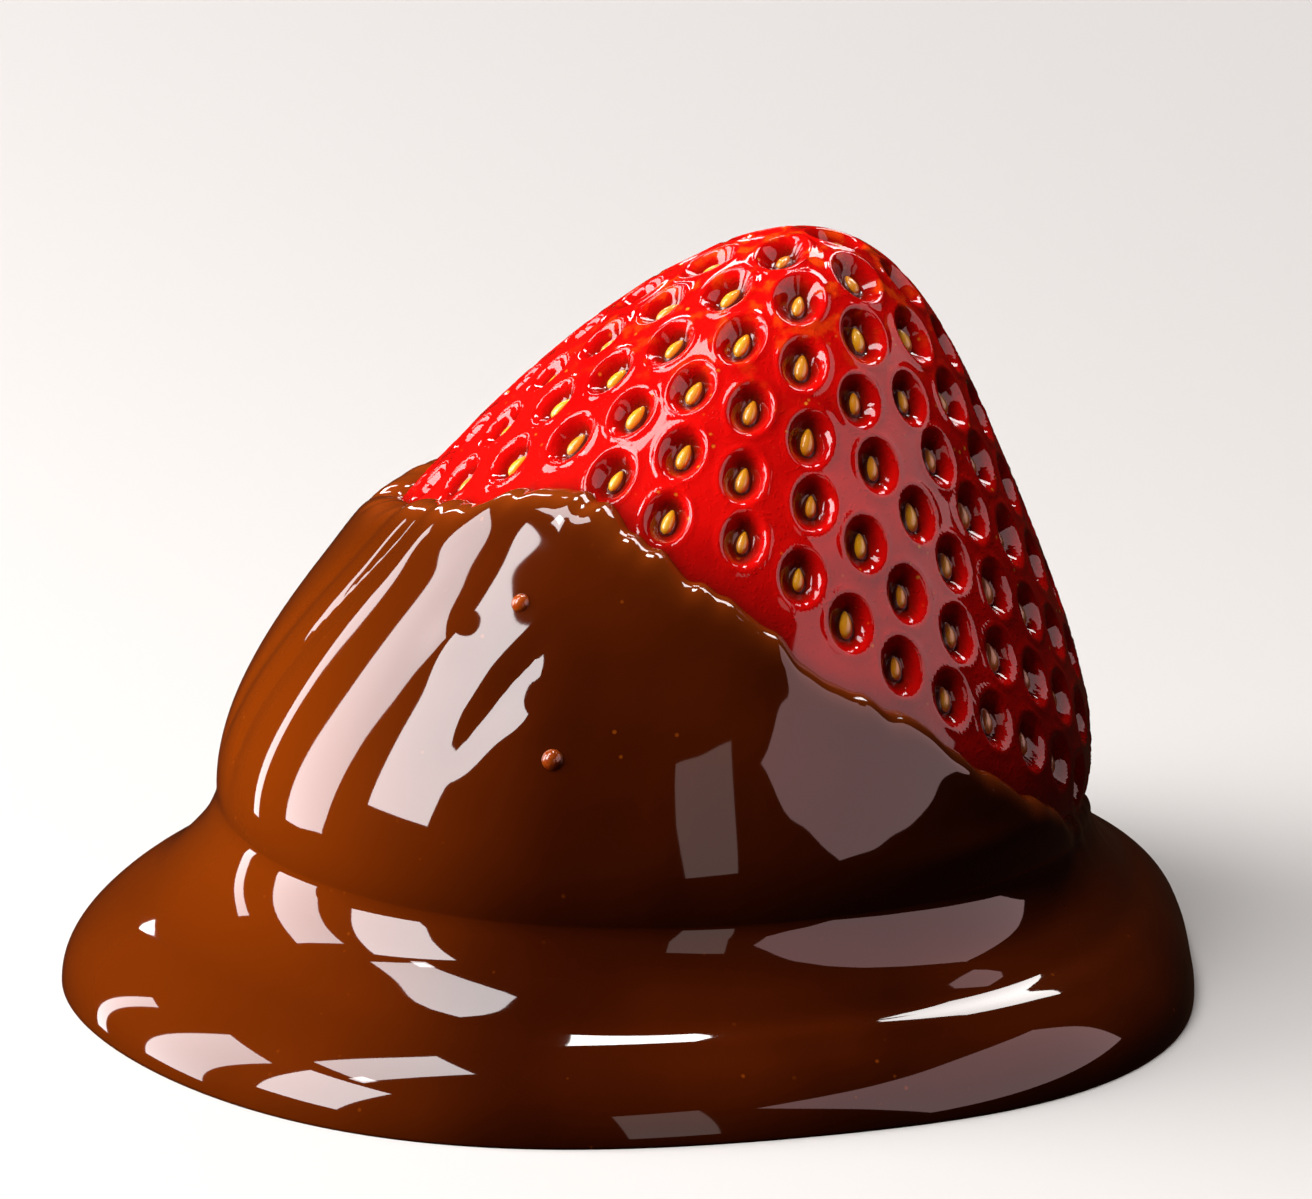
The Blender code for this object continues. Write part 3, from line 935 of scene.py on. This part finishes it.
@dataclass
class BerrySkin:
    """The berry's fine skin, with a pit round every seed."""

    berry: Berry
    dip: Dip
    columns: int = 480
    bare_rows: int = 186
    hidden_rows: int = 8
    under_coat: float = 2.0 * MM
    last_row: float = 0.97
    pit_depth_share: float = PIT_DEPTH_SHARE
    pit_floor_share: float = 0.36
    pit_stretch: float = 1.13
    bed_length: float = 1.15 * MM
    bed_width: float = 0.85 * MM
    bed_soft_from: float = 0.2
    rim_height: float = 0.07 * MM
    rim_spread: float = 0.13

    def smooth_skin(self) -> bpy.types.Object:
        """Makes the skin before its pits, with rows that follow the coat's edge.

        Returns:
            The object, whose points carry how far they lie above the coat's edge.
        """
        angle = column_angles(self.columns)
        edge = self.dip.edge_depth(angle)
        covered = self.berry.row_at(edge + self.under_coat)
        bare = np.linspace(0, 1, self.bare_rows + 1)[1:, None] * covered
        share = np.linspace(0, 1, self.hidden_rows + 1)[1:, None]
        hidden = share * (self.last_row - covered) + covered
        rows = np.concatenate([bare, hidden])
        spots = self.berry.spot(rows, angle)
        ends = self.berry.skin(self.berry.spot(np.array([0.0, 1.0]), 0.0))
        thing = ring_mesh("berry_skin", self.berry.skin(spots), *ends)
        above = (edge - self.berry.depth_at(rows)).ravel()
        carry(thing, "above_edge", np.append(above, [edge.mean(), -self.berry.length]))
        return thing

    def recipe(self, beds: bpy.types.Object, material: bpy.types.Material) -> Recipe:
        """Geometry Nodes that press an oval pit with a raised rim into the skin round every bed.

        Args:
            beds: the points that the seeds lie at.
            material: the skin's finish.

        Returns:
            The recipe.
        """
        recipe = Recipe("pits", {
            "Beds": beds, "Depth Share": self.pit_depth_share, "Rim Height": self.rim_height,
            "Stretch": self.pit_stretch, "Bed Length": self.bed_length, "Bed Width": self.bed_width,
            "Material": material,
        })
        tree, given = recipe.tree, recipe.given
        points = tree.add("GeometryNodeObjectInfo", None, {"Object": given("Beds")}, "Geometry")
        here = tree.add("GeometryNodeInputPosition")
        inputs = {"Geometry": points, "Sample Position": here}
        nearest = tree.add("GeometryNodeSampleNearest", None, inputs)

        def of_bed(value: Signal, kind: str = "FLOAT_VECTOR") -> Signal:
            """The value that the nearest bed carries."""
            inputs = {"Geometry": points, "Value": value, "Index": nearest}
            return tree.add("GeometryNodeSampleIndex", {"data_type": kind}, inputs)

        middle = of_bed(tree.add("GeometryNodeInputPosition"))
        tipwards = of_bed(recipe.carried("tipwards", "FLOAT_VECTOR"))
        outwards = of_bed(recipe.carried("outwards", "FLOAT_VECTOR"))
        radius = of_bed(recipe.carried("pit_radius"), "FLOAT")
        sideways = tree.vector_sum("CROSS_PRODUCT", outwards, tipwards)
        away = tree.vector_sum("SUBTRACT", here, middle)
        along = tree.vector_sum("DOT_PRODUCT", away, tipwards, output="Value") / given("Stretch")
        across = tree.vector_sum("DOT_PRODUCT", away, sideways, output="Value") * given("Stretch")
        reach = (along**2.0 + across**2.0) ** 0.5 / radius
        hollow = 1 - reach.step(self.pit_floor_share, 1.0)
        rim = (-(((reach - 1.0) / self.rim_spread) ** 2.0)).exponent()
        lift = rim * given("Rim Height") - hollow * given("Depth Share") * radius
        shift = tree.scaled(tree.add("GeometryNodeInputNormal"), lift)
        inputs = {"Geometry": given("Geometry"), "Offset": shift}
        moved = tree.add("GeometryNodeSetPosition", None, inputs)
        bed = (along / given("Bed Length")) ** 2.0 + (across / given("Bed Width")) ** 2.0
        # The pit's hollow, which the skin's finish darkens as painted shade.
        moved = recipe.store(moved, "pit", hollow)
        # The bed under each seed, which the skin's finish darkens as painted shade.
        recipe.end(recipe.store(moved, "bed", 1 - bed.step(self.bed_soft_from, 1.0)))
        return recipe

    def build(self, beds: bpy.types.Object, material: bpy.types.Material) -> bpy.types.Object:
        """Builds the skin over these beds and dresses it."""
        return self.recipe(beds, material).run(self.smooth_skin())


@dataclass
class Seeds:
    """The seeds, one in each pit, pointed towards the tip."""

    length: float = 1.36 * MM
    width: float = 0.68 * MM
    height: float = 0.60 * MM
    # Size of the dark shell of painted shade round each seed, and how far it is sunk.
    shade_husk_margin: float = 0.30 * MM
    shade_husk_sink: float = 0.16 * MM
    taper: float = 0.20
    point: float = 0.18
    sizes: tuple[float, float] = (0.86, 1.12)
    tones: tuple[float, float] = (0.0, 1.0)
    pit_depth_share: float = PIT_DEPTH_SHARE
    rise: float = 0.10 * MM
    random_seed: int = 7

    def recipe(self, material: bpy.types.Material) -> Recipe:
        """Geometry Nodes that lay a drop-shaped seed on every bed.

        Args:
            material: the seeds' finish.

        Returns:
            The recipe.
        """
        recipe = Recipe("seeds", {
            "Length": self.length, "Width": self.width, "Height": self.height,
            "Husk Margin": self.shade_husk_margin, "Husk Sink": self.shade_husk_sink,
            "Depth Share": self.pit_depth_share, "Rise": self.rise, "Seed": self.random_seed,
            "Material": material,
        })
        tree, given = recipe.tree, recipe.given
        sizes = {"Segments": 16, "Rings": 12, "Radius": 1.0}
        ball = tree.add("GeometryNodeMeshUVSphere", None, sizes)
        here = tree.add("GeometryNodeInputPosition")
        z = tree.part(here, "Z")
        taper = 1 - self.taper * z - self.point * z.at_least(0.0) ** 2.0

        def drop(margin: Signal | float) -> Signal:
            """The ball drawn out into a drop, this much longer and wider than the seed."""
            size = tree.add("ShaderNodeCombineXYZ", None, {
                "X": taper * (given("Width") + margin) * 0.5, "Y": taper * given("Height") * 0.5,
                "Z": (given("Length") + margin) * 0.5,
            })
            place = tree.vector_sum("MULTIPLY", here, size)
            return tree.add("GeometryNodeSetPosition", None, {"Geometry": ball, "Position": place})

        # Painted shade: a dark shell a little larger than the seed, sunk under it, shows as a dark ring
        # in the crevice.
        sunk = tree.add("ShaderNodeCombineXYZ", None, {"Y": -given("Husk Sink")})
        inputs = {"Geometry": drop(given("Husk Margin")), "Offset": sunk}
        husk = recipe.store(tree.add("GeometryNodeSetPosition", None, inputs), "husk", 1.0)
        whole = tree.add("GeometryNodeJoinGeometry", None, {"Geometry": [drop(0.0), husk]})
        outwards = recipe.carried("outwards", "FLOAT_VECTOR")
        sink = given("Rise") - given("Depth Share") * recipe.carried("pit_radius")
        inputs = {"Geometry": given("Geometry"), "Offset": tree.scaled(outwards, sink)}
        beds = tree.add("GeometryNodeSetPosition", None, inputs)
        settings = {"primary_axis": "Z", "secondary_axis": "Y"}
        turn = tree.add("FunctionNodeAxesToRotation", settings, {
            "Primary Axis": recipe.carried("tipwards", "FLOAT_VECTOR"), "Secondary Axis": outwards,
        })
        seeds = tree.add("GeometryNodeInstanceOnPoints", None, {
            "Points": beds, "Instance": whole, "Rotation": turn,
            "Scale": recipe.random(*self.sizes, 0),
        })
        recipe.end(recipe.store(seeds, "tone", recipe.random(*self.tones, 1), "INSTANCE"))
        return recipe

    def build(self, beds: bpy.types.Object, material: bpy.types.Material) -> bpy.types.Object:
        """Builds the seeds on these beds as one object and dresses them."""
        return self.recipe(material).run(new_object("seeds", beds.data.copy()))


@dataclass
class ChocolateCoat:
    """The coat: inside wall, lip, outside with its ridges, crease, skirt and flat underside."""

    berry: Berry
    dip: Dip
    columns: int = 400
    side_rows: int = 150
    skirt_rows: int = 54
    inner_rows: int = 8
    inner_last_row: float = 0.93
    inner_clearance: float = 0.3 * MM
    row_crowding: float = 1.35
    ends_below_edge: tuple[float, float] = (20 * MM, 30 * MM)
    fold_count: float = 4.0
    fold_height: float = 0.05 * MM
    fold_middle: float = -60
    fold_spread: float = 40
    evening: int = 9
    evened_within: float = 0.8 * MM

    def inside(self) -> np.ndarray:
        """Makes the inside.

        Returns:
            Its rings, from beside the stem end up to just below the lip.
        """
        angle = column_angles(self.columns)
        top = self.berry.row_at(self.dip.edge_depth(angle) + self.dip.lip_length)
        share = np.linspace(1, 0, self.inner_rows)[:, None]
        rows = top + (self.inner_last_row - top) * share
        spots = self.berry.spot(rows, angle)
        return self.berry.offset(spots, np.full(rows.shape, self.inner_clearance))

    def outside(self) -> np.ndarray:
        """Makes the outside.

        Returns:
            Its rings, from the lip down to the crease over the skirt.
        """
        angle = column_angles(self.columns)
        top = self.berry.row_at(self.dip.edge_depth(angle))
        crease = self.dip.skirt_top + waves(angle, self.dip.skirt_top_waves)
        foot = self.berry.row_at(self.berry.stem_end_height + self.berry.length - crease)
        share = (np.linspace(0, 1, self.side_rows + 1) ** self.row_crowding)[:, None]
        rows = top + (foot - top) * share
        return self.berry.offset(self.berry.spot(rows, angle), self.dip.wall(rows, angle))

    def skirt(self, crease: np.ndarray) -> np.ndarray:
        """Rings of the skirt.

        Args:
            crease: the wall's last ring.

        Returns:
            The rings, from beside the crease out and down to the table.
        """
        dip, angle = self.dip, column_angles(self.columns)
        width = dip.skirt_width + waves(angle, dip.skirt_waves)
        out = np.sin(np.linspace(0, 1, self.skirt_rows + 1)[1:, None] * math.pi / 2)
        radius, top = np.hypot(crease[:, 0], crease[:, 1]), crease[:, 2]
        even_radius, even_top = evened(radius, self.evening), evened(top, self.evening)
        near = np.exp(-width * out / self.evened_within)
        radius = even_radius + (radius - even_radius) * near
        top = even_top + (top - even_top) * near
        fillet = dip.skirt_fillet_share * np.exp(-width * out / dip.skirt_fillet)
        slump = (1 - dip.skirt_fillet_share) * (1 - out) ** dip.skirt_slump
        slump = (top - dip.skirt_rim) * (fillet + slump)
        round_off = np.maximum(out - dip.skirt_round_from, 0) / (1 - dip.skirt_round_from)
        height = (dip.skirt_rim + slump) * np.sqrt(1 - round_off**2)
        roll = dip.skirt_roll * np.sin(math.pi * np.minimum(out / dip.skirt_roll_reach, 1)) ** 2
        here = np.exp(-((degrees_from(angle, self.fold_middle) / self.fold_spread) ** 2))
        folds = np.sin(2 * math.pi * self.fold_count * out)
        height = height + roll + self.fold_height * folds * here * (1 - round_off)
        reach = radius + width * out
        return np.stack([reach * np.cos(angle), reach * np.sin(angle), height], axis=-1)

    def build(self, material: bpy.types.Material) -> bpy.types.Object:
        """Builds and dresses the coat.

        Args:
            material: its finish.

        Returns:
            The coat.
        """
        inside, outside = self.inside(), self.outside()
        skirt = self.skirt(outside[-1])
        rings = np.concatenate([inside, outside, skirt])
        inner_middle = np.array([0, 0, self.berry.stem_end_height - self.inner_clearance])
        thing = ring_mesh("chocolate_shell", rings, inner_middle, np.zeros(3))
        edge = self.dip.edge_depth(column_angles(self.columns))
        top = self.berry.stem_end_height + self.berry.length - edge
        below = (top - rings[..., 2]).ravel()
        carry(thing, "below_edge", np.append(below, self.ends_below_edge))
        thing.data.materials.append(material)
        return thing


@dataclass
class Bubbles:
    """Small bubbles of chocolate that stand on the coat."""

    berry: Berry
    dip: Dip
    width: float = 1.1 * MM
    sunk: float = 0.18 * MM
    sizes: tuple[float, float] = (0.6, 1.1)
    tones: tuple[float, float] = (0.0, 0.7)
    places: tuple[tuple[float, float], ...] = (
        (22.4 * MM, -108), (15.9 * MM, -121.5), (24 * MM, 160), (26 * MM, 96), (27 * MM, 35),
    )
    random_seed: int = 3

    def recipe(self, material: bpy.types.Material) -> Recipe:
        """Geometry Nodes that set a bubble on every point.

        Args:
            material: the bubbles' finish.

        Returns:
            The recipe.
        """
        values = {"Width": self.width, "Seed": self.random_seed, "Material": material}
        recipe = Recipe("bubbles", values)
        tree, given = recipe.tree, recipe.given
        sizes = {"Segments": 24, "Rings": 16, "Radius": given("Width") * 0.5}
        ball = tree.add("GeometryNodeMeshUVSphere", None, sizes)
        bubbles = tree.add("GeometryNodeInstanceOnPoints", None, {
            "Points": given("Geometry"), "Instance": ball,
            "Scale": recipe.random(*self.sizes, 0),
        })
        recipe.end(recipe.store(bubbles, "tone", recipe.random(*self.tones, 1), "INSTANCE"))
        return recipe

    def build(self, material: bpy.types.Material) -> bpy.types.Object:
        """Builds and dresses the bubbles.

        Args:
            material: their finish.

        Returns:
            The bubbles, as one object.
        """
        depth, degrees = np.array(self.places).T
        row, angle = self.berry.row_at(depth), np.radians(degrees)
        standing = self.dip.wall(row, angle) - self.sunk
        points = self.berry.offset(self.berry.spot(row, angle), standing)
        return self.recipe(material).run(new_mesh("bubbles", points))


@dataclass(frozen=True)
class Softbox:
    """One rectangular light, aimed at the berry."""

    name: str
    azimuth: float
    elevation: float
    distance: float
    width: float
    height: float
    power: float
    colour: Colour
    mirrored: bool = True
    lights_up: bool = True
    roll: float = 0.0

    def build(self, target: Vector) -> None:
        """Adds the light.

        Args:
            target: what it is aimed at.
        """
        light = bpy.data.lights.new(self.name, "AREA")
        light.shape = "RECTANGLE"
        light.size = self.width
        light.size_y = self.height
        light.energy = self.power
        light.color = self.colour
        thing = new_object(self.name, light)
        thing.location = target + self.distance * direction(self.azimuth, self.elevation)
        aimed = (thing.location - target).to_track_quat("Z", "Y").to_matrix()
        thing.rotation_euler = (aimed @ Matrix.Rotation(math.radians(self.roll), 3, "Z")).to_euler()
        thing.visible_camera = False
        thing.visible_glossy = self.mirrored
        thing.visible_diffuse = self.lights_up


def direction(azimuth: float, elevation: float) -> Vector:
    """Unit vector towards degrees from the front to the right, and degrees above the table."""
    turn, rise = math.radians(azimuth), math.radians(elevation)
    flat = math.cos(rise)
    return Vector((math.sin(turn) * flat, -math.cos(turn) * flat, math.sin(rise)))


@dataclass
class Studio:
    """The pale table, the lights, the surroundings and the camera."""

    target: Vector = field(default_factory=lambda: Vector((-0.84 * MM, 0.0, 19.4 * MM)))
    camera_elevation: float = 17
    camera_distance: float = 0.75
    lens: float = 401.8
    sensor_width: float = 36.0
    clip: tuple[float, float] = (0.01, 50.0)
    table_size: float = 8.0
    seen_background: Colour = (0.93, 0.93, 0.93)
    surroundings: Colour = (0.022, 0.010, 0.006)
    lights: tuple[Softbox, ...] = (
        Softbox("left_pane", -69, 27.3, 0.40, 0.165, 0.236, 1.8, PANE_WHITE, lights_up=False),
        Softbox("crest_pane", -70, 48.5, 0.40, 0.03, 0.03, 0.045, PANE_WHITE, lights_up=False),
        Softbox("far_left_pane", -101.5, 15, 0.40, 0.12, 0.32, 1.25, PANE_WHITE, lights_up=False),
        Softbox("left_edge_pane", -125, 6, 0.40, 0.028, 0.26, 0.18, PANE_WHITE, lights_up=False),
        Softbox("upper_left_pane", -80, 60, 0.40, 0.11, 0.17, 0.70, PANE_WHITE, lights_up=False),
        Softbox("left_fill", -87, 21, 0.40, 0.37, 0.40, 3.2, (1.0, 0.95, 0.93), mirrored=False),
        Softbox(
            "right_softbox", 70, 25, 0.50, 0.70, 0.38, 2.05, (1.0, 0.62, 0.63), lights_up=False, roll=18
        ),
        Softbox(
            "front_strip", 15, 13, 0.90, 0.20, 0.56, 0.52, (1.0, 0.73, 0.67), lights_up=False, roll=3
        ),
        Softbox("high_fill", -50, 62, 0.60, 0.30, 0.30, 2.8, (1.0, 0.97, 0.95), mirrored=False),
        Softbox("back_strip", -156, 34, 0.60, 0.04, 0.30, 0.5, LAMP_WHITE, lights_up=False),
        Softbox("back_right", 145, 50, 0.60, 0.22, 0.18, 1.6, LAMP_WHITE, lights_up=False),
        Softbox("top_softbox", 175, 70, 0.60, 0.10, 0.10, 0.8, LAMP_WHITE),
    )

    def build_table(self) -> None:
        """Adds the table."""
        half = self.table_size / 2
        corners = [(-half, -half, 0), (half, -half, 0), (half, half, 0), (-half, half, 0)]
        table = new_mesh("table", corners, [(0, 1, 2, 3)])
        table.data.materials.append(FloorFinish().material())
        table.visible_glossy = False
        table.visible_diffuse = False

    def build_surroundings(self) -> None:
        """Adds a pale background and the dimmer room that lights and reflects."""
        world = bpy.data.worlds.new("studio")
        world.use_nodes = True
        world.node_tree.nodes.clear()
        tree = Tree(world.node_tree)
        ray = tree.add("ShaderNodeLightPath", None, None, "Is Camera Ray")
        colour = tree.mix(ray, self.surroundings, self.seen_background)
        sky = tree.add("ShaderNodeBackground", None, {"Color": colour})
        tree.lead(sky, "ShaderNodeOutputWorld", "Surface")
        bpy.context.scene.world = world

    def build_camera(self) -> None:
        """Adds the camera at the photograph's angle."""
        camera = bpy.data.cameras.new("camera")
        camera.lens = self.lens
        camera.sensor_width = self.sensor_width
        camera.clip_start, camera.clip_end = self.clip
        thing = new_object("camera", camera)
        thing.location = self.target + self.camera_distance * direction(0, self.camera_elevation)
        thing.rotation_euler = (thing.location - self.target).to_track_quat("Z", "Y").to_euler()
        bpy.context.scene.camera = thing

    def build(self) -> None:
        """Builds the studio."""
        self.build_table()
        self.build_surroundings()
        self.build_camera()
        for light in self.lights:
            light.build(self.target)
        bpy.context.scene.view_settings.view_transform = "Standard"


def place(piece: bpy.types.Object, node: str, slot: str) -> None:
    """Ties a piece to the frame.

    Args:
        piece: the piece.
        node: the solid that it stands for.
        slot: the material slot that it would take; not used.
    """
    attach(piece, "root")
    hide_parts(node)
    LOG.info("%s: %d faces, for %s", piece.name, len(piece.data.polygons), node)


def main() -> None:
    """Loads the frame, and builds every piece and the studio."""
    logging.basicConfig(level=logging.INFO)
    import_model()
    berry = Berry()
    dip = Dip(berry)
    beds = Beds(berry, dip).build()
    skin = BerrySkin(berry, dip).build(beds, SkinFinish().material())
    seeds = Seeds().build(beds, SeedFinish().material())
    bpy.data.objects.remove(beds)
    coat = ChocolateCoat(berry, dip).build(ChocolateFinish().material())
    bubbles = Bubbles(berry, dip).build(BubbleFinish().material())
    place(skin, "strawberry", "strawberry")
    place(seeds, "strawberry", "strawberry")
    place(coat, "chocolate_coat", "chocolate_coat")
    place(bubbles, "chocolate_coat", "chocolate_coat")
    Studio().build()


if __name__ == "__main__":
    main()
